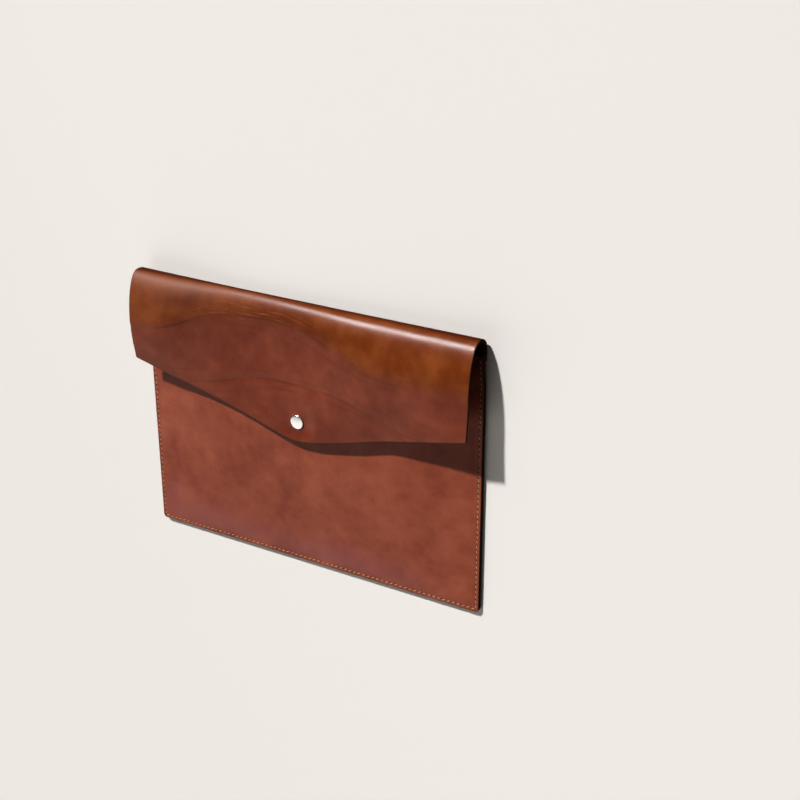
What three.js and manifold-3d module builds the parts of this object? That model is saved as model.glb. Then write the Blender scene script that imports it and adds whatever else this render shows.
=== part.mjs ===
// Leather document case: a flat pocket sewn on three sides, closed by an envelope flap with a press stud.
// It lies on its back. X runs across the case, Y from its bottom edge to its fold, Z up out of its front.
import * as THREE from 'three';
import Module from 'manifold-3d';

// Driving sizes, in millimetres
const caseWidth = 340;
const bodyHeight = 238.5;
const leather = 2;
const gap = 0.3;
const bottomCorner = 4;

// The pocket: a flat band along the seams, then a crown that is highest at the press stud
const seamBand = 7;
const pocketCrown = 10;
const mouthCrownShare = 0.75;
const crownFlatness = 2.4;

// The flap: a strip behind the back panel, a round fold over the top and a V-shaped front
const stripOverlap = 6;
const rampLength = 24;
const crestRise = 12.5;
const crestLift = 3;
const loopReach = 29;
const backCurve = 0.75;
const flapDrop = 122;
const cornerRise = 47;
const tipRound = 9;
const flapCorner = 1.5;
const faceEase = 1.6;

// The press stud, from its cap on the flap to its washer inside the pocket
const snapInset = 18.2;
const capRadius = 6.4;
const capRim = 0.9;
const capDome = 0.4;
const capShoulder = 0.75;
const postRadius = 1.4;
const socketRadius = 5.5;
const socketHeight = 2.4;
const studFlangeRadius = 5;
const studFlangeHeight = 0.7;
const studHeadRadius = 2.6;
const studHeadHeight = 1.8;
const washerRadius = 4.5;
const washerHeight = 0.6;
const snapSeat = 7.5;
const snapPull = 23;
const snapSides = 24;

// Sections of the flap from its left end to its right end, for the middle of the leather's thickness.
// across is a share of half the width. crest, nose and hem are heights above the floor as shares of
// loopReach. lift is a share of crestLift, and noseDrop a share of flapDrop below the fold's crest.
const flapSections = [
  { across: -1.0, crest: 0.54, lift: 1.0, nose: 1.03, noseDrop: 0.36, hem: 0.86 },
  { across: -0.8, crest: 0.43, lift: 0.67, nose: 0.98, noseDrop: 0.33, hem: 0.8 },
  { across: -0.58, crest: 0.34, lift: 0.33, nose: 0.75, noseDrop: 0.22, hem: 0.686 },
  { across: -0.35, crest: 0.26, lift: 0.08, nose: 0.57, noseDrop: 0.17, hem: 0.66 },
  { across: 0.0, crest: 0.25, lift: 0.06, nose: 0.6, noseDrop: 0.17, hem: 0.76 },
  { across: 0.32, crest: 0.31, lift: 0.22, nose: 0.84, noseDrop: 0.3, hem: 0.824 },
  { across: 0.5, crest: 0.34, lift: 0.35, nose: 0.92, noseDrop: 0.35, hem: 0.79 },
  { across: 0.66, crest: 0.37, lift: 0.44, nose: 0.96, noseDrop: 0.36, hem: 0.907 },
  { across: 0.84, crest: 0.41, lift: 0.6, nose: 1.0, noseDrop: 0.36, hem: 1.045 },
  { across: 1.0, crest: 0.45, lift: 0.72, nose: 1.04, noseDrop: 0.36, hem: 1.14 },
];

// Shallow arched folds across the flap's front, above the press stud. centre and reach are shares of half
// the width; base and height are shares of flapDrop above the flap's tip; depth and width of leather.
const flapFolds = [
  { centre: -0.2, reach: 0.5, square: 4, base: 0.63, height: 0.22, depth: 0.2, width: 2.2 },
  { centre: 0.03, reach: 0.47, square: 3, base: 0.27, height: 0.16, depth: 0.2, width: 2.2 },
];

// Sizes that follow
const quarter = Math.PI / 2;
const halfWidth = caseWidth / 2;
const crestHeight = bodyHeight + crestRise;
const tipHeight = crestHeight - flapDrop;
const snapHeight = tipHeight + snapInset;
const vSlope = cornerRise / halfWidth;
const stripEdge = bodyHeight - stripOverlap;
const rampTop = stripEdge - leather;
const snapGap = gap + studFlangeHeight + gap + socketHeight + gap;
const seamFace = 2 * leather + gap;

// The panels give way to the strip under them, so that strip and back panel rest on one plane
function overStrip(y) {
  return (leather + gap) * THREE.MathUtils.smoothstep(y, rampTop - rampLength, rampTop);
}

// Height of the pocket's crown: a pillow across, a quarter wave up to the press stud, then an easing
function crown(x, y) {
  const pillow = 1 - Math.min(1, Math.abs(x) / (halfWidth - seamBand)) ** crownFlatness;
  const rising = THREE.MathUtils.clamp((y - seamBand) / (snapHeight - seamBand), 0, 1);
  const easing = THREE.MathUtils.smoothstep(y, snapHeight, bodyHeight);
  const along = Math.sin(rising * quarter) - (1 - mouthCrownShare) * easing;
  return pocketCrown * pillow * along;
}

// Half the width of a panel at height y, narrowed by the rounded bottom corners
function panelHalfWidth(y) {
  const below = Math.max(0, bottomCorner - y);
  return halfWidth - bottomCorner + Math.sqrt(Math.max(0, bottomCorner ** 2 - below ** 2));
}

function panelMiddle(across, along, lift) {
  const y = along * bodyHeight;
  const x = across * panelHalfWidth(y);
  return new THREE.Vector3(x, y, lift(x, y) + overStrip(y));
}

function backMiddle(across, along) {
  return panelMiddle(across, along, () => leather / 2);
}

function frontMiddle(across, along) {
  return panelMiddle(across, along, (x, y) => leather + gap + leather / 2 + crown(x, y));
}

// Every column of the flap's table at one place across it, on a smooth curve through the rows
function sectionAt(across) {
  const last = flapSections.length - 1;
  const next = flapSections.findIndex((row) => row.across >= across);
  const i = THREE.MathUtils.clamp(next - 1, 0, last - 1);
  const [before, from, to, after] = [i - 1, i, i + 1, i + 2].map(
    (k) => flapSections[THREE.MathUtils.clamp(k, 0, last)],
  );
  const span = to.across - from.across;
  const t = (across - from.across) / span;
  const section = {};
  for (const column of ['crest', 'lift', 'nose', 'noseDrop', 'hem']) {
    const leave = ((to[column] - before[column]) / (to.across - before.across)) * span;
    const arrive = ((after[column] - from[column]) / (after.across - from.across)) * span;
    const bend = to[column] - from[column];
    section[column] =
      from[column] + t * (leave + t * (3 * bend - 2 * leave - arrive + t * (leave + arrive - 2 * bend)));
  }
  return section;
}

// Height of the flap's lower edge: a V with a round tip
function hemLine(x) {
  return tipHeight + vSlope * (Math.hypot(x, tipRound) - tipRound);
}

// The same edge with its outer corners rounded
function hemHeight(x) {
  const past = Math.max(0, Math.abs(x) - (halfWidth - flapCorner));
  return hemLine(x) + flapCorner - Math.sqrt(Math.max(0, flapCorner ** 2 - past ** 2));
}

// Shallow valleys of the arched folds
function foldRelief(x, y) {
  let relief = 0;
  for (const fold of flapFolds) {
    const off = Math.abs(x / halfWidth - fold.centre) / fold.reach;
    const arch = fold.base + fold.height * Math.exp(-(off ** fold.square));
    const away = (y - tipHeight - arch * flapDrop) / (fold.width * leather);
    relief -= fold.depth * leather * Math.exp(-(away ** 2)) * Math.exp(-((off / 2) ** 4));
  }
  return relief;
}

// The middle of the leather where the press stud holds the flap to the pocket
const snapMiddle = seamFace + pocketCrown + snapGap + leather / 2;

// The flap's front between the nose of its fold and its lower edge, drawn in round the press stud
function flapFace(x, y, section, noseHeight) {
  const t = (noseHeight - y) / (noseHeight - hemLine(x));
  const free = loopReach * (section.nose + (section.hem - section.nose) * t ** faceEase);
  const hold = 1 - THREE.MathUtils.smoothstep(Math.hypot(x, y - snapHeight), snapSeat, snapPull);
  const seat = 1 - THREE.MathUtils.smoothstep(Math.hypot(x, y - snapHeight), snapSeat, 2 * snapSeat);
  const relief = foldRelief(x, y) * THREE.MathUtils.smoothstep(t, 0, 0.1) * (1 - seat);
  return THREE.MathUtils.lerp(free, snapMiddle, hold) + relief;
}

// Shares of the way along the flap that end the strip, the fold's back and the fold's front
const stripEnd = 0.06;
const crestEnd = 0.3;
const noseEnd = 0.56;

// The flap as one sheet: a flat strip, a full back curve, a quarter ellipse to the nose, then the front
function flapMiddle(across, along) {
  const x = across * halfWidth;
  const section = sectionAt(across);
  const stripZ = leather / 2;
  const crestZ = section.crest * loopReach;
  const crestY = crestHeight + section.lift * crestLift;
  const noseZ = section.nose * loopReach;
  const noseY = crestY - section.noseDrop * flapDrop;
  if (along <= stripEnd) {
    return new THREE.Vector3(x, stripEdge + (stripOverlap * along) / stripEnd, stripZ);
  }
  if (along <= crestEnd) {
    const turn = ((along - stripEnd) / (crestEnd - stripEnd)) * quarter;
    const y = bodyHeight + (crestY - bodyHeight) * Math.sin(turn) ** backCurve;
    const z = crestZ - (crestZ - stripZ) * Math.max(0, Math.cos(turn)) ** backCurve;
    return new THREE.Vector3(x, y, z);
  }
  if (along <= noseEnd) {
    const turn = ((along - crestEnd) / (noseEnd - crestEnd)) * quarter;
    const y = noseY + (crestY - noseY) * Math.cos(turn);
    return new THREE.Vector3(x, y, crestZ + (noseZ - crestZ) * Math.sin(turn));
  }
  const y = THREE.MathUtils.lerp(noseY, hemHeight(x), (along - noseEnd) / (1 - noseEnd));
  return new THREE.Vector3(x, y, flapFace(x, y, section, noseY));
}

// Evenly spaced stops from one share to another, both included
function stops(from, to, count) {
  return Array.from({ length: count + 1 }, (_, i) => from + ((to - from) * i) / count);
}

function joined(...lists) {
  return [...new Set(lists.flat())].sort((a, b) => a - b);
}

// Share of a sheet between the points that its slopes are taken from
const slopeStep = 1e-4;

// A closed sheet of leather: both skins lie half a thickness off the middle, and a rim joins them
function leatherSheet(middle, acrossStops, alongStops) {
  const skin = (across, along, offset) => {
    const at = (u, v) => middle(THREE.MathUtils.clamp(u, -1, 1), THREE.MathUtils.clamp(v, 0, 1));
    const alongX = at(across + slopeStep, along).sub(at(across - slopeStep, along));
    const alongY = at(across, along + slopeStep).sub(at(across, along - slopeStep));
    return at(across, along).addScaledVector(alongX.cross(alongY).normalize(), offset);
  };
  const columns = acrossStops.length;
  const rows = alongStops.length;
  const points = [leather / 2, -leather / 2].flatMap((offset) =>
    alongStops.flatMap((along) => acrossStops.map((across) => skin(across, along, offset))),
  );
  const below = columns * rows;
  const index = [];
  for (let j = 0; j < rows - 1; j += 1) {
    for (let i = 0; i < columns - 1; i += 1) {
      const a = j * columns + i;
      const [b, c, d] = [a + 1, a + columns + 1, a + columns];
      index.push(a, b, c, a, c, d);
      index.push(below + a, below + c, below + b, below + a, below + d, below + c);
    }
  }
  const ring = [];
  for (let i = 0; i < columns - 1; i += 1) ring.push(i);
  for (let j = 0; j < rows - 1; j += 1) ring.push(j * columns + columns - 1);
  for (let i = columns - 1; i > 0; i -= 1) ring.push((rows - 1) * columns + i);
  for (let j = rows - 1; j > 0; j -= 1) ring.push(j * columns);
  ring.forEach((p, k) => {
    const q = ring[(k + 1) % ring.length];
    index.push(below + p, below + q, q, below + p, q, p);
  });
  const geometry = new THREE.BufferGeometry().setFromPoints(points);
  geometry.setIndex(index);
  geometry.computeVertexNormals();
  return geometry;
}

const wasm = await Module();
wasm.setup();

function toSolid(geometry) {
  const position = geometry.getAttribute('position');
  return new wasm.Manifold(
    new wasm.Mesh({
      numProp: 3,
      vertProperties: new Float32Array(position.array),
      triVerts: new Uint32Array(geometry.getIndex().array),
    }),
  );
}

// A plain round rod on the press stud's axis, with one shared point for each corner
function snapRod(radius, low, high) {
  const points = [new THREE.Vector3(0, snapHeight, low), new THREE.Vector3(0, snapHeight, high)];
  const index = [];
  for (let i = 0; i < snapSides; i += 1) {
    const angle = (i / snapSides) * 2 * Math.PI;
    const x = radius * Math.cos(angle);
    const y = snapHeight + radius * Math.sin(angle);
    points.push(new THREE.Vector3(x, y, low), new THREE.Vector3(x, y, high));
    const [a, b] = [2 + 2 * i, 3 + 2 * i];
    const [c, d] = [2 + 2 * ((i + 1) % snapSides), 3 + 2 * ((i + 1) % snapSides)];
    index.push(0, c, a, 1, b, d, a, c, d, a, d, b);
  }
  const geometry = new THREE.BufferGeometry().setFromPoints(points);
  geometry.setIndex(index);
  return geometry;
}

// A hole for the press stud's post through a leather sheet
function withSnapHole(sheet) {
  const hole = snapRod(postRadius + gap, 0, 2 * (snapMiddle + leather));
  const cut = toSolid(sheet).subtract(toSolid(hole)).getMesh();
  const geometry = new THREE.BufferGeometry();
  geometry.setAttribute('position', new THREE.BufferAttribute(cut.vertProperties, 3));
  geometry.setIndex(new THREE.BufferAttribute(cut.triVerts, 1));
  geometry.computeVertexNormals();
  return geometry;
}

// A turned metal piece from a profile of radius and height, with its axis stood up along Z
function turned(profile) {
  const outline = profile.map(([radius, height]) => new THREE.Vector2(radius, height));
  return new THREE.LatheGeometry(outline, snapSides).rotateX(quarter);
}

// Heights of the press stud's parts above the pocket's outer face
const flangeTop = gap + studFlangeHeight;
const headTop = flangeTop + studHeadHeight;
const socketLow = flangeTop + gap;
const socketTop = socketLow + socketHeight;
const capLow = snapGap + leather + gap;
const washerTop = -leather - gap;

function capGeometry() {
  return turned([
    [0, headTop + gap],
    [studHeadRadius + gap, headTop + gap],
    [studHeadRadius + gap, socketLow],
    [socketRadius, socketLow],
    [socketRadius, socketTop],
    [postRadius, socketTop],
    [postRadius, capLow],
    [capRadius, capLow],
    [capRadius, capLow + capRim],
    [capShoulder * capRadius, capLow + capRim + capShoulder * capDome],
    [0, capLow + capRim + capDome],
  ]);
}

function studGeometry() {
  return turned([
    [0, washerTop - washerHeight],
    [washerRadius, washerTop - washerHeight],
    [washerRadius, washerTop],
    [postRadius, washerTop],
    [postRadius, gap],
    [studFlangeRadius, gap],
    [studFlangeRadius, flangeTop],
    [studHeadRadius, flangeTop],
    [studHeadRadius, headTop],
    [0, headTop],
  ]);
}

function finish(color, roughness, metalness) {
  return new THREE.MeshStandardMaterial({ color, roughness, metalness });
}

function piece(name, geometry, material) {
  const mesh = new THREE.Mesh(geometry, material);
  mesh.name = name;
  return mesh;
}

// Grids: closer lines at the rounded corners, the seams, the ramp and the fold
const seamShare = 1 - seamBand / halfWidth;
const cornerAlong = stops(0, quarter, 3).map((a) => ((1 - Math.cos(a)) * bottomCorner) / bodyHeight);
const cornerAcross = stops(0, quarter, 2).map((a) => 1 - ((1 - Math.sin(a)) * flapCorner) / halfWidth);
const panelAcross = joined(stops(-seamShare, seamShare, 18), [-1, 1]);
const rampAlong = stops((rampTop - rampLength) / bodyHeight, 1, 8);
const backAlong = joined(cornerAlong, [snapHeight / bodyHeight], rampAlong);
const frontAlong = joined(cornerAlong, stops(seamBand / bodyHeight, 1, 18));
const flapAcross = joined(stops(-seamShare, seamShare, 28), cornerAcross, cornerAcross.map((u) => -u));
const flapAlong = joined(
  stops(0, stripEnd, 1),
  stops(stripEnd, crestEnd, 6),
  stops(crestEnd, noseEnd, 8),
  stops(noseEnd, 1, 18),
);

const bodyLeather = finish(0x8a4632, 0.42, 0);
const flapLeather = finish(0x8f4a2e, 0.38, 0);
const nickel = finish(0xd8d4cc, 0.25, 1);
const dullMetal = finish(0xb5afa5, 0.45, 1);

const backPanel = piece('back_panel', leatherSheet(backMiddle, panelAcross, backAlong), bodyLeather);
const frontSheet = leatherSheet(frontMiddle, panelAcross, frontAlong);
const frontPanel = piece('front_panel', withSnapHole(frontSheet), bodyLeather);
const flapSheet = leatherSheet(flapMiddle, flapAcross, flapAlong);
const flap = piece('flap', withSnapHole(flapSheet), flapLeather);
const snapCap = piece('snap_cap', capGeometry(), nickel);
const snapStud = piece('snap_stud', studGeometry(), dullMetal);
for (const part of [snapCap, snapStud]) {
  part.position.set(0, snapHeight, seamFace + pocketCrown);
}

// The origin lies under the middle of the whole case, on the plane it rests on
flap.geometry.computeBoundingBox();
const documentCase = new THREE.Group();
documentCase.add(backPanel, frontPanel, flap, snapCap, snapStud);
documentCase.position.y = -flap.geometry.boundingBox.max.y / 2;

export default documentCase;
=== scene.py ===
"""Looks for the leather document case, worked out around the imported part.

Shapes are worked out in millimetres in the case's own layout: x across the case, y up from its
bottom edge, z out of its front. in_frame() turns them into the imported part's frame, in metres.
"""

import math

import bpy
import numpy as np
from mathutils import Matrix, Vector


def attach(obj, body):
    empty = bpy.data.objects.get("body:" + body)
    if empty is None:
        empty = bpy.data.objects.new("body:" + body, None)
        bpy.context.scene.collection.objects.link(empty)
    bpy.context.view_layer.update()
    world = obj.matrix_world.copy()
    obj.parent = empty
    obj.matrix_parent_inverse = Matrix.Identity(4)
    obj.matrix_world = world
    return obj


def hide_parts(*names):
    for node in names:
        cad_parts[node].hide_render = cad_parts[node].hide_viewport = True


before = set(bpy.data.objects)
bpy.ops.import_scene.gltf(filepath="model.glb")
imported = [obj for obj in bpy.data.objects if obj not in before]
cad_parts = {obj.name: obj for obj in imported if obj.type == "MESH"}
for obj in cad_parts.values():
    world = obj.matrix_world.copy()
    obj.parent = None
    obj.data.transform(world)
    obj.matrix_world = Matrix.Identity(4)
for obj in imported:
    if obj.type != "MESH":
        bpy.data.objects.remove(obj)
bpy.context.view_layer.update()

# Sizes of the case, as in the part's source
CASE_WIDTH = 340.0
BODY_HEIGHT = 238.5
LEATHER = 2.0
GAP = 0.3
BOTTOM_CORNER = 4.0
SEAM_BAND = 7.0
POCKET_CROWN = 10.0
MOUTH_CROWN_SHARE = 0.75
CROWN_FLATNESS = 2.4
STRIP_OVERLAP = 6.0
RAMP_LENGTH = 24.0
CREST_RISE = 12.5
CREST_LIFT = 3.0
LOOP_REACH = 29.0
BACK_CURVE = 0.75
FLAP_DROP = 122.0
CORNER_RISE = 47.0
TIP_ROUND = 9.0
FLAP_CORNER = 1.5
FACE_EASE = 1.6
SNAP_INSET = 18.2
SNAP_SEAT = 7.5
SNAP_PULL = 23.0
SNAP_STACK = 4.0

HALF_WIDTH = CASE_WIDTH / 2
CREST_HEIGHT = BODY_HEIGHT + CREST_RISE
TIP_HEIGHT = CREST_HEIGHT - FLAP_DROP
SNAP_HEIGHT = TIP_HEIGHT + SNAP_INSET
STRIP_EDGE = BODY_HEIGHT - STRIP_OVERLAP
RAMP_TOP = STRIP_EDGE - LEATHER
SEAM_FACE = 2 * LEATHER + GAP
SNAP_MIDDLE = SEAM_FACE + POCKET_CROWN + SNAP_STACK + LEATHER / 2

# The case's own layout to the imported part's frame: its middle lies at the origin
MILLIMETRE = 0.001
LAYOUT_SHIFT = (CREST_HEIGHT + CREST_LIFT + LEATHER / 2) / 2

# Sections of the flap: across the case, then crest, lift, nose, nose drop and hem
FLAP_SECTIONS = np.array([
    (-1.0, 0.54, 1.0, 1.03, 0.36, 0.86),
    (-0.8, 0.43, 0.67, 0.98, 0.33, 0.8),
    (-0.58, 0.34, 0.33, 0.75, 0.22, 0.686),
    (-0.35, 0.26, 0.08, 0.57, 0.17, 0.66),
    (0.0, 0.25, 0.06, 0.6, 0.17, 0.76),
    (0.32, 0.31, 0.22, 0.84, 0.3, 0.824),
    (0.5, 0.34, 0.35, 0.92, 0.35, 0.79),
    (0.66, 0.37, 0.44, 0.96, 0.36, 0.907),
    (0.84, 0.41, 0.6, 1.0, 0.36, 1.045),
    (1.0, 0.45, 0.72, 1.04, 0.36, 1.14),
])

# Arched folds of the flap: centre, reach, squareness, base, height, depth and width
FLAP_FOLDS = (
    (-0.2, 0.5, 4, 0.63, 0.22, 0.2, 2.2),
    (0.03, 0.47, 3, 0.27, 0.16, 0.2, 2.2),
)

# Fine creases beside the arched folds: the same shares, then their depth in millimetres
FINE_CREASES = (
    (-0.2, 0.5, 4, 0.63, 0.22, 0.12),
    (0.03, 0.47, 3, 0.27, 0.16, 0.12),
    (-0.28, 0.56, 3, 0.585, 0.2, 0.06),
    (0.1, 0.5, 3, 0.2, 0.17, 0.06),
    (0.0, 0.62, 3, 0.33, 0.14, 0.05),
)

# Darker clouds above the upper arch: x and y of their middle, half widths, and strength
DARK_CLOUDS = (
    (-116, 238, 24, 8, 0.6),
    (-24, 236, 26, 7, 0.65),
    (34, 232, 34, 8, 0.5),
)

# How the leather is finished, in millimetres
EDGE_ROUND = 0.8
SEAM_INSET = 3.0
STITCH = 4.8
SEAM_ROLL = 0.32
ROLL_START = 5.0
ROLL_WIDTH = 9.0
HAND_WAVE = 0.025
CREASE_WIDTH = 0.9
WRINKLE = 0.08
GROOVE_DEPTH = 0.3
BACK_GROOVE_DEPTH = 0.45
GROOVE_WIDTH = 0.9
EDGE_DYE = 1.5

# Needle holes, in millimetres. The side rows and the bottom row share the two corner holes.
SEAM_X = HALF_WIDTH - SEAM_INSET
SEAM_TOP = BODY_HEIGHT - SEAM_INSET
SIDE_COUNT = round((SEAM_TOP - SEAM_INSET) / STITCH)
FOOT_COUNT = round(2 * SEAM_X / STITCH)
SIDE_PITCH = (SEAM_TOP - SEAM_INSET) / SIDE_COUNT
FOOT_PITCH = 2 * SEAM_X / FOOT_COUNT
HOLE_CORE = 0.42
HOLE_RIM = 0.72

# The thread: its thickness and its slant across the row in millimetres, the share of the way
# between two holes that shows, then shares of its thickness: how far a stitch rises and how deep
# its ends lie, its thickness at the ends, and its height over its width
THREAD = 0.74
THREAD_SLANT = 0.45
THREAD_SHOWN = 0.78
THREAD_RISE = 0.62
THREAD_SINK = 0.5
THREAD_END = 0.72
THREAD_FLATNESS = 0.85

# Half outlines of the press stud's pieces: radius, and height above the front panel's crown
CAP_OUTLINE = (
    (0, 3.1), (2.8, 3.1), (2.9, 3.0), (2.9, 1.4), (3.0, 1.3), (5.2, 1.3), (5.45, 1.4), (5.5, 1.6),
    (5.5, 3.3), (5.4, 3.55), (5.1, 3.7), (1.4, 3.7), (1.4, 6.3), (5.95, 6.3), (6.27, 6.38),
    (6.4, 6.6), (6.4, 6.9), (6.32, 7.1), (6.12, 7.24), (5.8, 7.32), (4.7, 7.41), (3.4, 7.5),
    (1.7, 7.58), (0, 7.6),
)
STUD_OUTLINE = (
    (0, -2.9), (4.2, -2.9), (4.45, -2.8), (4.5, -2.6), (4.45, -2.35), (4.2, -2.3), (1.4, -2.3),
    (1.4, 0.3), (4.8, 0.3), (5.0, 0.4), (5.0, 0.9), (4.8, 1.0), (2.7, 1.0), (2.4, 1.25),
    (2.4, 1.9), (2.6, 2.2), (2.5, 2.6), (2.2, 2.78), (0, 2.8),
)

# Dyes of the leather: deep, middle and bright
BODY_DYES = ((0.202, 0.035, 0.0155, 1), (0.264, 0.055, 0.025, 1), (0.326, 0.077, 0.037, 1))
FLAP_DYES = ((0.129, 0.0223, 0.0098, 1), (0.17, 0.033, 0.0152, 1), (0.222, 0.047, 0.0222, 1))
# Tones of the zone above the upper arch: a warmer, less purple copy of the flap's tones, a painted darker
# reflection
UPPER_ZONE_TONES = ((0.142, 0.0245, 0.003, 1), (0.226, 0.053, 0.009, 1))
EDGE_BROWN = (0.05, 0.022, 0.013, 1)
# painted shade for the needle holes
HOLE_SHADE = (0.012, 0.005, 0.003, 1)

# Colours laid on the leather, in the order in which they lie on it: name, strength and colour. All but the
# darker clouds are painted light: a painted sheen, painted highlights and painted shade
MARK_COLOURS = (
    # painted sheen: a pale mauve tone in the front panel's seam roll, in place of a reflection
    ("painted_seam_sheen", 0.6, (0.265, 0.076, 0.076, 1)),
    ("clouded", 1.0, (0.085, 0.014, 0.003, 1)),
    # painted highlight: a lighter orange on the front of the fold, mostly to the left
    ("painted_fold_highlight", 0.3, (0.31, 0.074, 0.016, 1)),
    # painted shade: a dark tone along the fine creases, by their depth
    ("creased", 0.55, (0.07, 0.012, 0.004, 1)),
    # painted highlight: a lighter orange on the tops of the fine ripples
    ("painted_ripple_highlight", 0.8, (0.31, 0.1, 0.03, 1)),
    # painted shade: a dark band along the back of the fold's crest
    ("painted_crest_shade", 0.85, (0.06, 0.0095, 0.002, 1)),
)

# The floor: half its width in metres, and how far below the case it lies in millimetres
FLOOR_REACH = 6.0
FLOOR_DROP = 0.2


def ease(value, low, high):
    """Zero below low, one above high, and a smooth step of 3t^2 - 2t^3 between them."""
    t = np.clip((value - low) / (high - low), 0, 1)
    return t * t * (3 - 2 * t)


def in_frame(points):
    """Points of the case's layout in millimetres as points of the part's frame in metres."""
    return (np.asarray(points) - (0, LAYOUT_SHIFT, 0)) * MILLIMETRE


def over_strip(y):
    """How far the panels rise over the flap's strip: one leather and one gap, on a smooth ramp."""
    return (LEATHER + GAP) * ease(y, RAMP_TOP - RAMP_LENGTH, RAMP_TOP)


def crown(x, y):
    """Height of the pocket's crown: a pillow across, times a quarter wave up to the press stud."""
    pillow = 1 - np.minimum(1, np.abs(x) / (HALF_WIDTH - SEAM_BAND)) ** CROWN_FLATNESS
    rising = np.clip((y - SEAM_BAND) / (SNAP_HEIGHT - SEAM_BAND), 0, 1)
    easing = ease(y, SNAP_HEIGHT, BODY_HEIGHT)
    return POCKET_CROWN * pillow * (np.sin(rising * np.pi / 2) - (1 - MOUTH_CROWN_SHARE) * easing)


def hand_waves(x, y):
    """Slight waves of leather that has been handled: three sines of 60 to 130 mm, 0.06 mm high in all."""
    wave = np.sin(x / 21 + 0.6 * np.sin(y / 34)) + np.sin(y / 12 - x / 70) + np.sin(x / 29 + y / 9.5) / 2
    return HAND_WAVE * wave


def seam_roll(x, y):
    """A soft roll of the front panel just inside its seam: t e^(1 - t), which is highest at t = 1."""
    t = np.maximum(0, np.minimum(HALF_WIDTH - np.abs(x), y) - ROLL_START) / ROLL_WIDTH
    return SEAM_ROLL * t * np.exp(1 - t)


def painted_seam_sheen_share(x, y):
    """Share of the painted sheen in the roll beside the bottom and the left seam: a pale mauve tone in
    place of a reflection.
    """
    t = np.maximum(0, np.minimum(x + HALF_WIDTH, 1.2 * y) - ROLL_START) / ROLL_WIDTH
    return t * np.exp(1 - t) * (1 - ease(x, 90, 150)) * (1 - ease(y, 25, 60)) * (0.8 + 0.2 * np.sin(x / 23))


def panel_half_width(y):
    """Half the width of a panel at height y, less towards its rounded bottom corners."""
    below = np.maximum(0, BOTTOM_CORNER - y)
    return HALF_WIDTH - BOTTOM_CORNER + np.sqrt(np.maximum(0, BOTTOM_CORNER**2 - below**2))


def inside_panel(x, y):
    """Distance in from a panel's cut edge: to the nearest side, or to the round of a corner."""
    side = HALF_WIDTH - np.abs(x)
    to_centre = np.hypot(np.maximum(0, BOTTOM_CORNER - side), np.maximum(0, BOTTOM_CORNER - y))
    in_corner = (side < BOTTOM_CORNER) & (y < BOTTOM_CORNER)
    return np.where(in_corner, BOTTOM_CORNER - to_centre, np.minimum(np.minimum(side, y), BODY_HEIGHT - y))


def panel_middle(across, along, lift):
    """A panel's middle surface: x is a share of the local half width, y a share of the height."""
    y = along * BODY_HEIGHT
    x = across * panel_half_width(y)
    return np.stack([x, y, lift(x, y) + over_strip(y)], axis=-1)


def back_middle(across, along):
    """The back panel lies flat, half a leather above the surface it rests on."""
    return panel_middle(across, along, lambda x, y: LEATHER / 2 + 0 * x)


def front_middle(across, along):
    """The front panel lies one leather and one gap above the back one, with the crown on top."""
    def lift(x, y):
        free = ease(inside_panel(x, y), SEAM_BAND, 4 * SEAM_BAND)
        return 1.5 * LEATHER + GAP + crown(x, y) + seam_roll(x, y) + free * hand_waves(x, y)
    return panel_middle(across, along, lift)


def sections_at(across):
    """The flap's table at each place across it: cubics between the rows, smooth at each row."""
    places, values = FLAP_SECTIONS[:, 0], FLAP_SECTIONS[:, 1:]
    last = len(places) - 1
    i = np.clip(np.searchsorted(places, across) - 1, 0, last - 1)
    before, after = np.maximum(i - 1, 0), np.minimum(i + 2, last)
    span = places[i + 1] - places[i]
    t = ((across - places[i]) / span)[..., None]
    leave = (values[i + 1] - values[before]) * (span / (places[i + 1] - places[before]))[..., None]
    arrive = (values[after] - values[i]) * (span / (places[after] - places[i]))[..., None]
    bend = values[i + 1] - values[i]
    rows = values[i] + t * (leave + t * (3 * bend - 2 * leave - arrive + t * (leave + arrive - 2 * bend)))
    return np.moveaxis(rows, -1, 0)


def hem_line(x):
    """Height of the flap's lower edge: a V with a round tip, as a hyperbola."""
    return TIP_HEIGHT + CORNER_RISE / HALF_WIDTH * (np.hypot(x, TIP_ROUND) - TIP_ROUND)


def hem_height(x):
    """The same edge with its outer corners rounded as quarter circles."""
    past = np.maximum(0, np.abs(x) - (HALF_WIDTH - FLAP_CORNER))
    return hem_line(x) + FLAP_CORNER - np.sqrt(np.maximum(0, FLAP_CORNER**2 - past**2))


def above_arch(x, y, fold):
    """Distance above an arched fold, whose line is a flat-topped bell, and how far off its middle."""
    centre, reach, square, base, height = fold[:5]
    off = np.abs(x / HALF_WIDTH - centre) / reach
    return y - TIP_HEIGHT - (base + height * np.exp(-(off**square))) * FLAP_DROP, off


def fold_relief(x, y):
    """Valleys along the arches: each is a bell across its arch, and fades out past the arch's ends."""
    relief = 0 * x
    for fold in FLAP_FOLDS:
        away, off = above_arch(x, y, fold)
        depth, width = fold[5:]
        bell = np.exp(-((away / (width * LEATHER)) ** 2))
        relief = relief - depth * LEATHER * bell * np.exp(-((off / 2) ** 4))
    return relief


def creased(x, y):
    """Depth of the fine creases: thin valleys along arches, which come and go along their way."""
    depth = 0 * x
    for number, crease in enumerate(FINE_CREASES):
        away, off = above_arch(x, y, crease)
        away = away + 0.7 * np.sin(x / 17 + 2 * number)
        come_and_go = 0.65 + 0.35 * np.sin(x / 11 + 3 * number)
        valley = np.exp(-((away / CREASE_WIDTH) ** 2)) * np.exp(-((off / 1.7) ** 4))
        depth = depth + crease[5] * valley * come_and_go
    return depth


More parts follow.
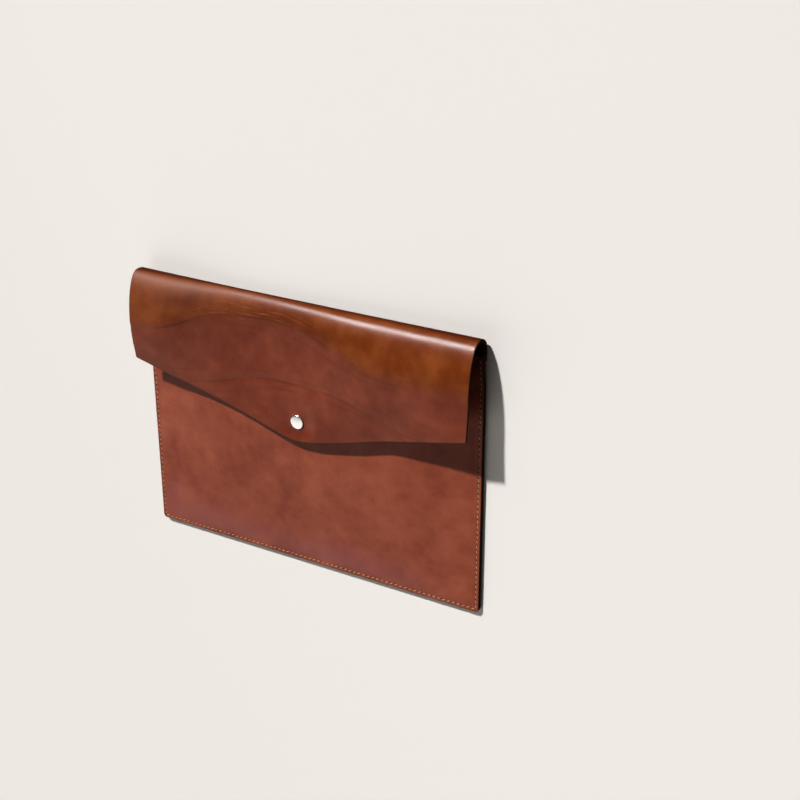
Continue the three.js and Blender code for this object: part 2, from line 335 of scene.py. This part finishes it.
def wrinkles(x, y):
    """Fine wrinkles of the grain just above the upper arch: tops of ripples 3 mm apart, as shares."""
    away, off = above_arch(x, y, FLAP_FOLDS[0])
    where = np.exp(-(((away - 5) / 5) ** 2)) * np.exp(-(((x + 45) / 60) ** 4))
    ripple = np.sin(2.1 * away + 1.5 * np.sin(x / 11) + 0.7 * np.sin(x / 4.3 + away) + x / 12)
    return where * np.maximum(0, ripple) ** 3 * (0.5 + 0.5 * np.sin(x / 6.5 + 1.3 * away))


def clouded(x, y):
    """Share of the darker clouds: the sum of round-topped bells."""
    return sum(share * np.exp(-(((x - mid_x) / wide) ** 2) - ((y - mid_y) / high) ** 2)
               for mid_x, mid_y, wide, high, share in DARK_CLOUDS)


def flap_face(x, y, nose, hem, nose_y):
    """Height of the flap's front: it eases from nose to hem, and is drawn in round the press stud."""
    t = np.clip((nose_y - y) / (nose_y - hem_line(x)), 0, None)
    free = LOOP_REACH * (nose + (hem - nose) * t**FACE_EASE)
    from_snap = np.hypot(x, y - SNAP_HEIGHT)
    hold = 1 - ease(from_snap, SNAP_SEAT, SNAP_PULL)
    seat = 1 - ease(from_snap, SNAP_SEAT, 2 * SNAP_SEAT)
    relief = fold_relief(x, y) - creased(x, y) + WRINKLE * wrinkles(x, y) + hand_waves(x, y)
    return free + (SNAP_MIDDLE - free) * hold + relief * ease(t, 0, 0.1) * (1 - seat)


# Shares of the way along the flap that end the strip, the fold's back and the fold's front, and
# how far below the crest the front starts on average, as a share of its drop
STRIP_END, CREST_END, NOSE_END = 0.06, 0.3, 0.56
FACE_START = 0.19


def flap_middle(across, along):
    """The flap as one sheet: a flat strip, a full back curve, a quarter ellipse, then the front."""
    x = across * HALF_WIDTH
    crest, lift, nose, nose_drop, hem = sections_at(across)
    strip_z, crest_z, nose_z = LEATHER / 2, crest * LOOP_REACH, nose * LOOP_REACH
    crest_y = CREST_HEIGHT + lift * CREST_LIFT
    nose_y = crest_y - nose_drop * FLAP_DROP
    back_turn = np.clip((along - STRIP_END) / (CREST_END - STRIP_END), 0, 1) * np.pi / 2
    front_turn = np.clip((along - CREST_END) / (NOSE_END - CREST_END), 0, 1) * np.pi / 2
    face_y = nose_y + (hem_height(x) - nose_y) * (along - NOSE_END) / (1 - NOSE_END)
    stretches = [along <= STRIP_END, along <= CREST_END, along <= NOSE_END]
    y = np.select(stretches, [
        STRIP_EDGE + STRIP_OVERLAP * along / STRIP_END,
        BODY_HEIGHT + (crest_y - BODY_HEIGHT) * np.sin(back_turn) ** BACK_CURVE,
        nose_y + (crest_y - nose_y) * np.cos(front_turn),
    ], face_y)
    z = np.select(stretches, [
        strip_z + 0 * x,
        crest_z - (crest_z - strip_z) * np.maximum(0, np.cos(back_turn)) ** BACK_CURVE,
        crest_z + (nose_z - crest_z) * np.sin(front_turn),
    ], flap_face(x, face_y, nose, hem, nose_y))
    return np.stack([x, y, z], axis=-1)


def inside_flap(points, along):
    """Distance in from the flap's cut edge: to its ends, to its hem, or to the strip's edge."""
    x, y = points[..., 0], points[..., 1]
    slope = CORNER_RISE / HALF_WIDTH
    to_hem = np.where(along > NOSE_END, (y - hem_height(x)) / math.hypot(1, slope), HALF_WIDTH)
    to_strip = np.where(along < STRIP_END, y - STRIP_EDGE, HALF_WIDTH)
    return np.minimum(np.minimum(HALF_WIDTH - np.abs(x), to_hem), to_strip)


def lines(low, high, count, edge_low=True, edge_high=True):
    """Grid lines from low to high in millimetres: close together at a cut edge, even elsewhere."""
    near = np.array([0, 0.1, 0.25, 0.45, 0.8, 1.4, 2.0, 2.6, 3.0, 3.4, 4.0])
    start = low + near if edge_low else np.array([low])
    end = high - near[::-1] if edge_high else np.array([high])
    return np.concatenate([start, np.linspace(start[-1], end[0], count)[1:-1], end])


def new_piece(name, points, faces, nodes, material_numbers=None):
    """A piece of the case from its points in the case's layout, riding on the part's one body."""
    mesh = bpy.data.meshes.new(name)
    mesh.from_pydata(in_frame(points), [], faces)
    mesh.polygons.foreach_set("use_smooth", np.ones(len(mesh.polygons), bool))
    if material_numbers is not None:
        mesh.polygons.foreach_set("material_index", material_numbers)
    mesh.update()
    piece = bpy.data.objects.new(name, mesh)
    bpy.context.scene.collection.objects.link(piece)
    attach(piece, "root")
    if nodes:
        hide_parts(*nodes)
    return piece


def add_attribute(piece, name, values):
    """A number for each point of a piece, which its material reads by name."""
    layer = piece.data.attributes.new(name, "FLOAT", "POINT")
    layer.data.foreach_set("value", np.asarray(values, np.float32).ravel())


def quads(rows, columns, start=0):
    """Faces of a grid of points, stored row by row."""
    a = start + np.arange(rows - 1)[:, None] * columns + np.arange(columns - 1)
    return np.stack([a, a + 1, a + columns + 1, a + columns], axis=-1).reshape(-1, 4)


def leather_sheet(name, middle, inside, across, along, node, grooves=(0.0, 0.0), sewn=None):
    """A closed sheet of leather: two skins half a leather off its middle surface, joined by a rim.

    Near a cut edge each skin falls away as a quarter circle. grooves is how deep the seam's groove
    is in the outer and in the inner skin: a bell across the line of the needle holes. sewn says
    how far in from the sewn edge a point lies, where that isn't the nearest edge.
    """
    step = 1e-4
    u, v = np.meshgrid(across, along)
    centre = middle(u, v)
    u_low, u_high = np.maximum(u - step, -1), np.minimum(u + step, 1)
    v_low, v_high = np.maximum(v - step, 0), np.minimum(v + step, 1)
    normal = np.cross(middle(u_high, v) - middle(u_low, v), middle(u, v_high) - middle(u, v_low))
    normal /= np.linalg.norm(normal, axis=-1, keepdims=True)
    away = np.maximum(inside(centre, v), 0)
    fall = EDGE_ROUND - np.sqrt(EDGE_ROUND**2 - np.maximum(0, EDGE_ROUND - away) ** 2)
    from_seam = (away if sewn is None else sewn(centre, v)) - SEAM_INSET
    groove = np.exp(-((from_seam / GROOVE_WIDTH) ** 2))
    outer = centre + normal * (LEATHER / 2 - fall - grooves[0] * groove)[..., None]
    inner = centre - normal * (LEATHER / 2 - fall - grooves[1] * groove)[..., None]
    rows, columns = u.shape
    below = rows * columns
    grid = np.arange(below).reshape(rows, columns)
    ring = np.concatenate([grid[0, :-1], grid[:-1, -1], grid[-1, :0:-1], grid[:0:-1, 0]])
    onward = np.roll(ring, -1)
    skin = quads(rows, columns)
    rim = np.stack([below + ring, below + onward, onward, ring], axis=-1)
    faces = np.concatenate([skin, (skin + below)[:, ::-1], rim])
    kinds = np.repeat([0, 1, 2], [len(skin), len(skin), len(rim)])
    points = np.concatenate([outer.reshape(-1, 3), inner.reshape(-1, 3)])
    piece = new_piece(name, points, faces.tolist(), [node], kinds)
    add_attribute(piece, "from_edge", np.concatenate([away.ravel(), away.ravel()]) * MILLIMETRE)
    return piece


def stitch_row(holes, face_z, push, sides=8, stops=9):
    """A row of stitches between needle holes, each a round thread that dips into the leather.

    holes are (x, y) points in order. Along a stitch the thread's middle rises as the square root of
    a half sine from inside the leather to just above it, its radius eases off at both ends, and it
    slants across the row. push is +1 for a front face and -1 for a back face.
    """
    share = np.linspace(0, 1, stops)
    angle = np.arange(sides) / sides * 2 * np.pi
    start, end = holes[:-1], holes[1:]
    run = end - start
    run_unit = run / np.linalg.norm(run, axis=1, keepdims=True)
    side_unit = np.stack([-run_unit[:, 1], run_unit[:, 0]], axis=1)
    slant = THREAD_SLANT * (2 * share - 1)
    shown = 0.5 + THREAD_SHOWN * (share - 0.5)
    place = start[:, None] + run[:, None] * shown[None, :, None]
    place = place + side_unit[:, None] * slant[None, :, None]
    rise = np.sin(np.pi * share) ** 0.5
    radius = THREAD / 2 * (THREAD_END + (1 - THREAD_END) * rise)
    height = face_z(place[..., 0], place[..., 1]) + push * (THREAD_RISE * rise - THREAD_SINK) * THREAD
    centre = np.concatenate([place, height[..., None]], axis=-1)
    side = np.concatenate([side_unit, np.zeros((len(run), 1))], axis=1)
    sideways = radius[:, None] * np.cos(angle)
    upwards = THREAD_FLATNESS * push * radius[:, None] * np.sin(angle)
    points = (centre[:, :, None] + side[:, None, None] * sideways[None, ..., None]
              + np.array([0, 0, 1]) * upwards[None, ..., None])
    a = np.arange(stops - 1)[:, None] * sides + np.arange(sides)
    b = np.arange(stops - 1)[:, None] * sides + np.roll(np.arange(sides), -1)
    tube = np.stack([a, a + sides, b + sides, b], axis=-1).reshape(-1, 4)
    tube = tube if push > 0 else tube[:, ::-1]
    first, last = np.arange(sides), (stops - 1) * sides + np.arange(sides)
    caps = [first, last[::-1]] if push > 0 else [first[::-1], last]
    count = stops * sides
    faces = [(face + n * count).tolist() for n in range(len(run)) for face in (*tube, *caps)]
    along = np.broadcast_to(share[None, :, None], points.shape[:3])
    around = np.broadcast_to(angle[None, None, :], points.shape[:3])
    return points.reshape(-1, 3), faces, along.ravel(), around.ravel()


def turned(name, outline, sides, nodes):
    """A round metal piece on the press stud's axis, from its half outline."""
    profile = np.array(outline) + (0, SEAM_FACE + POCKET_CROWN)
    angle = np.arange(sides) / sides * 2 * np.pi
    inner = profile[1:-1]
    rings = np.stack([
        inner[:, :1] * np.cos(angle),
        SNAP_HEIGHT + inner[:, :1] * np.sin(angle),
        np.broadcast_to(inner[:, 1:], (len(inner), sides)),
    ], axis=-1).reshape(-1, 3)
    poles = np.array([(0, SNAP_HEIGHT, profile[0, 1]), (0, SNAP_HEIGHT, profile[-1, 1])])
    count = len(inner)
    a = np.arange(count - 1)[:, None] * sides + np.arange(sides)
    b = np.arange(count - 1)[:, None] * sides + np.roll(np.arange(sides), -1)
    faces = np.stack([a, b, b + sides, a + sides], axis=-1).reshape(-1, 4).tolist()
    ring, onward = np.arange(sides), np.roll(np.arange(sides), -1)
    top = (count - 1) * sides
    low_pole, high_pole = count * sides, count * sides + 1
    faces += [[low_pole, q, p] for p, q in zip(ring.tolist(), onward.tolist())]
    faces += [[high_pole, top + p, top + q] for p, q in zip(ring.tolist(), onward.tolist())]
    return new_piece(name, np.concatenate([rings, poles]), faces, nodes)


class Recipe:
    """Nodes of a material or of the world. Arguments are numbers, colours or sockets."""

    def __init__(self, owner, shader):
        owner.use_nodes = True
        self.owner = owner
        self.tree = owner.node_tree
        self.shader = self.tree.nodes[shader]

    def put(self, socket, value):
        """Give a socket a link or a constant."""
        if isinstance(value, bpy.types.NodeSocket):
            self.tree.links.new(value, socket)
        else:
            socket.default_value = value

    def add(self, kind, inputs, outlet=0, **settings):
        """Add a node with its settings and inputs, and hand back one of its outputs."""
        node = self.tree.nodes.new("ShaderNode" + kind)
        for key, value in settings.items():
            setattr(node, key, value)
        for key, value in inputs.items():
            self.put(node.inputs[key], value)
        return node.outputs[outlet]

    def set(self, **inputs):
        """Give the shader its inputs, named with underscores for spaces."""
        for key, value in inputs.items():
            self.put(self.shader.inputs[key.replace("_", " ")], value)

    def place(self):
        """A point's place in the part's frame, in metres."""
        return self.add("TexCoord", {}, "Object")

    def mark(self, name):
        """The number that a piece's points carry under this name, or zero."""
        return self.add("Attribute", {}, "Fac", attribute_name=name)

    def split(self, vector):
        """The x and the y of a vector."""
        return self.add("SeparateXYZ", {"Vector": vector}).node.outputs[:2]

    def length(self, vector):
        """The length of a vector."""
        return self.add("VectorMath", {0: vector}, "Value", operation="LENGTH")

    def noise(self, place, scale, detail=2.0, roughness=0.5, stretch=(1, 1, 1)):
        """Cloudy noise between about 0.2 and 0.8, with scale clouds to the metre."""
        spot = self.add("Mapping", {"Vector": place, "Scale": stretch})
        inputs = {"Vector": spot, "Scale": scale, "Detail": detail, "Roughness": roughness}
        return self.add("TexNoise", inputs)

    def cells(self, place, scale):
        """Distance to the nearest of scattered points, which are one over scale apart."""
        return self.add("TexVoronoi", {"Vector": place, "Scale": scale}, "Distance", feature="F1")

    def calc(self, first, second, operation="ADD", third=0.0):
        """A sum, or another calculation."""
        return self.add("Math", {0: first, 1: second, 2: third}, operation=operation)

    def times(self, value, factor):
        """A product."""
        return self.calc(value, factor, "MULTIPLY")

    def ramp(self, value, low, high, to_low=0.0, to_high=1.0):
        """A smooth step from to_low at low to to_high at high."""
        inputs = {"Value": value, "From Min": low, "From Max": high, "To Min": to_low, "To Max": to_high}
        return self.add("MapRange", inputs, interpolation_type="SMOOTHSTEP")

    def mix(self, share, first, second):
        """A share of the second colour over the first."""
        return self.add("Mix", {0: share, 6: first, 7: second}, 2, data_type="RGBA")

    def bump(self, height, distance, strength, under=None):
        """A normal tilted by a height, on top of the normal under it."""
        inputs = {"Height": height, "Distance": distance, "Strength": strength}
        if under is not None:
            inputs["Normal"] = under
        return self.add("Bump", inputs)


def new_material(name):
    """A recipe for a new material."""
    return Recipe(bpy.data.materials.new(name), "Principled BSDF")


def needle_holes(recipe, place):
    """One on the seam's needle holes, zero elsewhere: a small disc at each hole of the three rows."""
    x, y = recipe.split(place)
    from_side = recipe.calc(recipe.calc(x, 0, "ABSOLUTE"), SEAM_X * MILLIMETRE, "SUBTRACT")
    up = recipe.calc(y, (LAYOUT_SHIFT - SEAM_INSET) * MILLIMETRE)
    side_step, foot_step = SIDE_PITCH * MILLIMETRE, FOOT_PITCH * MILLIMETRE
    side_phase = recipe.calc(up, side_step / 2, "PINGPONG")
    foot_phase = recipe.calc(recipe.calc(x, FOOT_COUNT % 2 * foot_step / 2), foot_step / 2, "PINGPONG")
    to_side_hole = recipe.length(recipe.add("CombineXYZ", {0: from_side, 1: side_phase}))
    to_foot_hole = recipe.length(recipe.add("CombineXYZ", {0: up, 1: foot_phase}))
    nearest = recipe.calc(to_side_hole, to_foot_hole, "MINIMUM")
    return recipe.ramp(nearest, HOLE_RIM * MILLIMETRE, HOLE_CORE * MILLIMETRE)


def tanned_leather(name, deep, middle, bright, holes=False):
    """Waxed full-grain leather: cloudy dye in three tones, fine pores, and dark-stained cut edges.

    Points carry shares of the marks in the mark table, and of the zone above the upper arch, where warmer,
    less purple tones are painted in place of a darker reflection and, towards the left end, the shine is
    dulled. "from_edge" is how far in they lie.
    """
    recipe = new_material(name)
    place = recipe.place()
    upper_zone, away = recipe.mark("upper_zone"), recipe.mark("from_edge")
    clouds = recipe.noise(place, 18, 4, 0.55)
    patches = recipe.noise(place, 62, 6, 0.55, (0.95, 1, 1))
    dye = recipe.calc(recipe.times(clouds, 0.5), recipe.times(patches, 0.5))
    colour = recipe.mix(recipe.ramp(dye, 0.34, 0.52), deep, middle)
    colour = recipe.mix(recipe.ramp(dye, 0.48, 0.66), colour, bright)
    # Above the upper arch warmer, less purple tones replace the colour: a painted darker reflection
    colour = recipe.mix(upper_zone, colour, recipe.mix(recipe.ramp(dye, 0.36, 0.64), *UPPER_ZONE_TONES))
    # Lay on the marks: darker clouds, a painted sheen, painted highlights and painted shade
    for mark, strength, mark_colour in MARK_COLOURS:
        colour = recipe.mix(recipe.times(recipe.mark(mark), strength), colour, mark_colour)
    pores = recipe.cells(place, 1300)
    fibres = recipe.noise(place, 420, 4, 0.65)
    colour = recipe.mix(recipe.ramp(fibres, 0.35, 0.75, 0.0, 0.16), colour, deep)
    colour = recipe.mix(recipe.ramp(away, 0.0, EDGE_DYE * MILLIMETRE, 0.85, 0.0), colour, EDGE_BROWN)
    normal = recipe.bump(recipe.noise(place, 90, 3, 0.5), 0.25 * MILLIMETRE, 0.25)
    grain = recipe.calc(recipe.times(pores, 0.5), fibres)
    normal = recipe.bump(grain, 0.07 * MILLIMETRE, 0.5, normal)
    if holes:
        hole = needle_holes(recipe, place)
        # The needle holes are coloured near black: painted shade in the holes
        colour = recipe.mix(hole, colour, HOLE_SHADE)
        normal = recipe.bump(recipe.calc(1.0, hole, "SUBTRACT"), 0.5 * MILLIMETRE, 0.9, normal)
    dulled = recipe.times(recipe.ramp(recipe.split(place)[0], -0.1, 0.06, 0.22, 0.0), upper_zone)
    rough = recipe.calc(recipe.ramp(patches, 0.3, 0.7, 0.28, 0.33), dulled)
    rough = recipe.calc(rough, recipe.ramp(away, 0.0, EDGE_DYE * MILLIMETRE, 0.3, 0.0))
    recipe.set(Base_Color=colour, Roughness=rough, Normal=normal, Specular_IOR_Level=0.12)
    return recipe.owner


def raw_flesh(name, deep, bright):
    """The leather's inner side: a matt, napped brown with short loose fibres."""
    recipe = new_material(name)
    place = recipe.place()
    nap = recipe.noise(place, 700, 4, 0.7)
    clouds = recipe.noise(place, 40, 3)
    shade = recipe.calc(nap, recipe.times(clouds, 0.6))
    colour = recipe.mix(recipe.ramp(shade, 0.55, 1.05), deep, bright)
    recipe.set(Base_Color=colour, Normal=recipe.bump(nap, 0.2 * MILLIMETRE, 0.8), Roughness=0.85)
    return recipe.owner


def painted_edge(name):
    """Dark brown edge paint, slightly uneven, with a soft shine."""
    recipe = new_material(name)
    streaks = recipe.noise(recipe.place(), 300, 3)
    colour = recipe.mix(recipe.ramp(streaks, 0.3, 0.7), EDGE_BROWN, (0.085, 0.04, 0.024, 1))
    recipe.set(Base_Color=colour, Normal=recipe.bump(streaks, 0.15 * MILLIMETRE, 0.5), Roughness=0.6)
    return recipe.owner


def waxed_thread(name):
    """Tan sewing thread: two plies twisted round each other, seen as slanting ridges."""
    recipe = new_material(name)
    twist = recipe.calc(recipe.times(recipe.mark("thread_along"), 34.0), recipe.mark("thread_around"))
    ply = recipe.calc(recipe.calc(recipe.times(twist, 2.0), 0, "SINE"), 0.5, "MULTIPLY_ADD", 0.5)
    # The darker tone in the grooves between the plies is painted shade
    colour = recipe.mix(ply, (0.32, 0.14, 0.06, 1), (0.78, 0.5, 0.29, 1))
    recipe.set(Base_Color=colour, Normal=recipe.bump(ply, 0.12 * MILLIMETRE, 0.8), Roughness=0.55)
    return recipe.owner


def nickel(name, tone, roughness):
    """Nickel plate with faint turning marks round its middle and a few handling marks."""
    recipe = new_material(name)
    place = recipe.place()
    to_axis = (0, (LAYOUT_SHIFT - SNAP_HEIGHT) * MILLIMETRE, 0)
    radius = recipe.length(recipe.add("Mapping", {"Vector": place, "Location": to_axis}))
    turning = recipe.calc(recipe.times(radius, 9000.0), 0, "SINE")
    dust = recipe.noise(place, 900, 3)
    darker = tuple(0.9 * c for c in tone[:3]) + (1,)
    colour = recipe.mix(recipe.ramp(dust, 0.4, 0.8), tone, darker)
    rough = recipe.ramp(dust, 0.3, 0.8, roughness, roughness + 0.12)
    normal = recipe.bump(recipe.calc(turning, dust), 0.01 * MILLIMETRE, 0.3)
    recipe.set(Base_Color=colour, Roughness=rough, Normal=normal, Metallic=1.0)
    return recipe.owner


def plain_floor(name):
    """A pale matt floor with a hardly visible tooth."""
    recipe = new_material(name)
    tooth = recipe.noise(recipe.place(), 500, 2)
    colour = recipe.mix(tooth, (0.9, 0.864, 0.828, 1), (0.908, 0.872, 0.836, 1))
    recipe.set(Base_Color=colour, Roughness=0.9, Normal=recipe.bump(tooth, 0.05 * MILLIMETRE, 0.2))
    return recipe.owner


def panel_inside(points, along):
    """How far in from its cut edge a point of a panel lies."""
    return inside_panel(points[..., 0], points[..., 1])


def sewn_panel(points, along):
    """How far in from the three sewn sides a point of a panel lies. The top edge is open."""
    return np.minimum(HALF_WIDTH - np.abs(points[..., 0]), points[..., 1])


def sewn_strip(points, along):
    """How far in from the strip's sewn edge a point of the flap lies."""
    return np.where(along < STRIP_END, points[..., 1] - STRIP_EDGE, HALF_WIDTH)


def flap_marks(points, along):
    """Shares of each mark on the flap's leather.

    Above the upper arch warmer tones stand in for a darker reflection; on the front of the fold, mostly to
    the left, lies a painted highlight, and behind the fold's crest painted shade. The rest lie on the front
    only:
    darker clouds, painted shade in the creases and a painted highlight on the ripple tops.
    """
    x, y = points[..., 0], points[..., 1]
    above = above_arch(x, y, FLAP_FOLDS[0])[0]
    front = along > CREST_END
    deepest = max(crease[5] for crease in FINE_CREASES)
    return {
        # the zone above the upper arch, painted in warmer tones in place of a darker reflection
        "upper_zone": ease(along, STRIP_END, CREST_END) * ease(above, -8, 12),
        # painted highlight on the front of the fold, strongest at the left
        "painted_fold_highlight": ease(along, 0.3, 0.37) * (1 - ease(along, 0.38, 0.47)) * (1 - 0.7 * ease(x, -100, 60)),
        # painted shade behind the fold's crest
        "painted_crest_shade": ease(along, 0.17, 0.25) * (1 - ease(along, 0.295, 0.34)),
        "clouded": np.where(front, clouded(x, y), 0),
        # painted shade in the fine creases, as a share of their depth
        "creased": np.where(front, creased(x, y) / deepest, 0),
        # painted highlight on the tops of the fine ripples
        "painted_ripple_highlight": np.where(front, wrinkles(x, y), 0),
    }


def mark_skins(piece, name, shares):
    """Give a mark's shares to the points of both skins of a sheet."""
    add_attribute(piece, name, np.concatenate([shares.ravel(), shares.ravel()]))


def front_face(x, y):
    """The bottom of the groove in the front panel's outer face."""
    return SEAM_FACE + over_strip(y) - GROOVE_DEPTH


def back_face(x, y):
    """The bottom of the groove in the back panel's outer face, which it lies on."""
    return BACK_GROOVE_DEPTH + over_strip(y)


def strip_face(x, y):
    """The bottom of the groove in the strip's outer face."""
    return BACK_GROOVE_DEPTH + 0 * x


def pocket_face(x, y):
    """The back panel's face inside the pocket."""
    return LEATHER + over_strip(y)


def side_holes(x, y):
    """Needle holes up one side of the case."""
    return np.stack([np.full_like(y, x), y], axis=1)


def foot_holes(x, y):
    """Needle holes in a row across the case."""
    return np.stack([x, np.full_like(x, y)], axis=1)


def sew(name, rows, thread):
    """One piece of thread for several rows of stitches, each given as holes, face and push."""
    stitches = [stitch_row(*row) for row in rows]
    starts = np.cumsum([0, *(len(row[0]) for row in stitches[:-1])])
    faces = [[i + int(start) for i in face] for row, start in zip(stitches, starts) for face in row[1]]
    piece = new_piece(name, np.concatenate([row[0] for row in stitches]), faces, [])
    add_attribute(piece, "thread_along", np.concatenate([row[2] for row in stitches]))
    add_attribute(piece, "thread_around", np.concatenate([row[3] for row in stitches]))
    piece.data.materials.append(thread)


def in_scene(name, data):
    """An object for a floor, a camera or a light, linked to the scene."""
    thing = bpy.data.objects.new(name, data)
    bpy.context.scene.collection.objects.link(thing)
    return thing


def shine_along(light, way):
    """Turn a light so that it shines along a direction."""
    light.rotation_mode = "QUATERNION"
    light.rotation_quaternion = way.to_track_quat("-Z", "Y")


# Materials
body_skin = tanned_leather("body_leather", *BODY_DYES, holes=True)
flap_skin = tanned_leather("flap_leather", *FLAP_DYES)
flesh = raw_flesh("leather_flesh_side", (0.06, 0.028, 0.014, 1), (0.13, 0.065, 0.034, 1))
edge_paint = painted_edge("edge_paint")
thread = waxed_thread("waxed_thread")

# Grid lines of the leather, as shares of half the width and of the way along a piece
panel_across = lines(-HALF_WIDTH, HALF_WIDTH, 210) / HALF_WIDTH
panel_along = lines(0, BODY_HEIGHT, 140) / BODY_HEIGHT
back_across = lines(-HALF_WIDTH, HALF_WIDTH, 110) / HALF_WIDTH
back_along = lines(0, BODY_HEIGHT, 80) / BODY_HEIGHT
face_length = CREST_HEIGHT - FACE_START * FLAP_DROP - TIP_HEIGHT
flap_along = np.concatenate([
    lines(0, STRIP_OVERLAP, 4, True, False) / STRIP_OVERLAP * STRIP_END,
    np.linspace(STRIP_END, CREST_END, 34)[1:],
    np.linspace(CREST_END, NOSE_END, 46)[1:],
    NOSE_END + lines(0, face_length, 150, False, True)[1:] / face_length * (1 - NOSE_END),
])

# The leather pieces
back = leather_sheet("back_leather", back_middle, panel_inside, back_across, back_along,
                     "back_panel", (0.0, BACK_GROOVE_DEPTH), sewn_panel)
front = leather_sheet("front_leather", front_middle, panel_inside, panel_across, panel_along,
                      "front_panel", (GROOVE_DEPTH, 0.0), sewn_panel)
flap = leather_sheet("flap_leather", flap_middle, inside_flap, panel_across, flap_along,
                     "flap", (0.0, BACK_GROOVE_DEPTH), sewn_strip)
flap_u, flap_v = np.meshgrid(panel_across, flap_along)
for mark, shares in flap_marks(flap_middle(flap_u, flap_v), flap_v).items():
    mark_skins(flap, mark, shares)
front_points = front_middle(*np.meshgrid(panel_across, panel_along))
# The painted sheen beside the front panel's bottom and left seam
mark_skins(front, "painted_seam_sheen", painted_seam_sheen_share(front_points[..., 0], front_points[..., 1]))

# Each sheet's upper skin, lower skin and rim
for piece, skins in ((back, (flesh, body_skin)), (front, (body_skin, flesh)), (flap, (flesh, flap_skin))):
    for skin in (*skins, edge_paint):
        piece.data.materials.append(skin)

# The seams
side_y = SEAM_INSET + np.arange(SIDE_COUNT + 1) * SIDE_PITCH
foot_x = -SEAM_X + np.arange(FOOT_COUNT + 1) * FOOT_PITCH
foot_row = foot_holes(foot_x, SEAM_INSET)
strip_row = foot_holes(foot_x, STRIP_EDGE + SEAM_INSET)
pocket_row = strip_row[np.abs(strip_row[:, 0]) < 0.88 * HALF_WIDTH]
below_strip = side_y[side_y < RAMP_TOP]
sew("seam_thread", [
    (side_holes(-SEAM_X, side_y[::-1]), front_face, 1),
    (foot_row, front_face, 1),
    (side_holes(SEAM_X, side_y), front_face, 1),
    (side_holes(-SEAM_X, below_strip[::-1]), back_face, -1),
    (foot_row, back_face, -1),
    (side_holes(SEAM_X, below_strip), back_face, -1),
], thread)
sew("strip_thread", [(strip_row, strip_face, -1), (pocket_row, pocket_face, 1)], thread)

# The press stud
cap = turned("snap_cap_disc", CAP_OUTLINE, 72, ["snap_cap"])
cap.data.materials.append(nickel("nickel_cap", (0.96, 0.94, 0.91, 1), 0.16))
stud = turned("snap_stud_post", STUD_OUTLINE, 48, ["snap_stud"])
stud.data.materials.append(nickel("nickel_stud", (0.7, 0.68, 0.64, 1), 0.35))

# A pale floor that the case lies on. It throws no light back on the case.
floor_mesh = bpy.data.meshes.new("floor")
floor_corners = ((-1, -1), (1, -1), (1, 1), (-1, 1))
floor_points = [(FLOOR_REACH * x, FLOOR_REACH * y, -FLOOR_DROP * MILLIMETRE) for x, y in floor_corners]
floor_mesh.from_pydata(floor_points, [], [(0, 1, 2, 3)])
floor = in_scene("floor", floor_mesh)
floor.data.materials.append(plain_floor("pale_floor"))
floor.visible_diffuse = False
floor.visible_glossy = False

# The camera at the photograph's viewing angle: its place in metres, then its three axes
camera_data = bpy.data.cameras.new("camera")
camera_data.sensor_width = 36.0
camera_data.lens = 65.36
camera_place = (0.64324, 0.67692 - LAYOUT_SHIFT * MILLIMETRE, 0.95087)
view_right = (0.8643, 0.0, -0.5029)
view_up = (-0.2069, 0.9114, -0.3557)
view_back = (0.4583, 0.4115, 0.7878)
turn = Matrix((view_right, view_up, view_back)).transposed().to_4x4()
camera = in_scene("camera", camera_data)
camera.matrix_world = Matrix.Translation(camera_place) @ turn
bpy.context.scene.camera = camera

# The sun, from beyond the fold
key_data = bpy.data.lights.new("key_light", "SUN")
key_data.energy = 4.2
key_data.angle = math.radians(3.0)
key_data.color = (1.0, 0.99, 0.975)
shine_along(in_scene("key_light", key_data), Vector((0.3175, -0.767, -0.5576)))

# A soft spot on the right part of the fold, for its shine only. Its distance is in metres.
glint_aim = Vector((0.165, 0.112, 0.02))
glint_way = Vector((-0.53, 0.7, 0.48)).normalized()
glint_distance = 1.2
glint_data = bpy.data.lights.new("fold_glint", "SPOT")
glint_data.energy = 860.0
glint_data.shadow_soft_size = 0.42
glint_data.spot_size = math.radians(20.0)
glint_data.spot_blend = 0.9
glint = in_scene("fold_glint", glint_data)
glint.location = glint_aim + glint_distance * glint_way
shine_along(glint, -glint_way)
glint.visible_diffuse = False

# The studio round the case: bright on the side that the sun lights in the photograph, dim elsewhere
world = bpy.data.worlds.new("studio")
bpy.context.scene.world = world
studio = Recipe(world, "Background")
way_x, way_y = studio.split(studio.add("TexCoord", {}, "Generated"))
bright = studio.times(studio.ramp(way_y, -0.16, -0.46), studio.ramp(way_x, 0.3, -0.3))
studio.set(Color=studio.mix(bright, (0.03, 0.029, 0.028, 1), (1.12, 1.07, 1.02, 1)))

bpy.context.scene.view_settings.view_transform = "Standard"
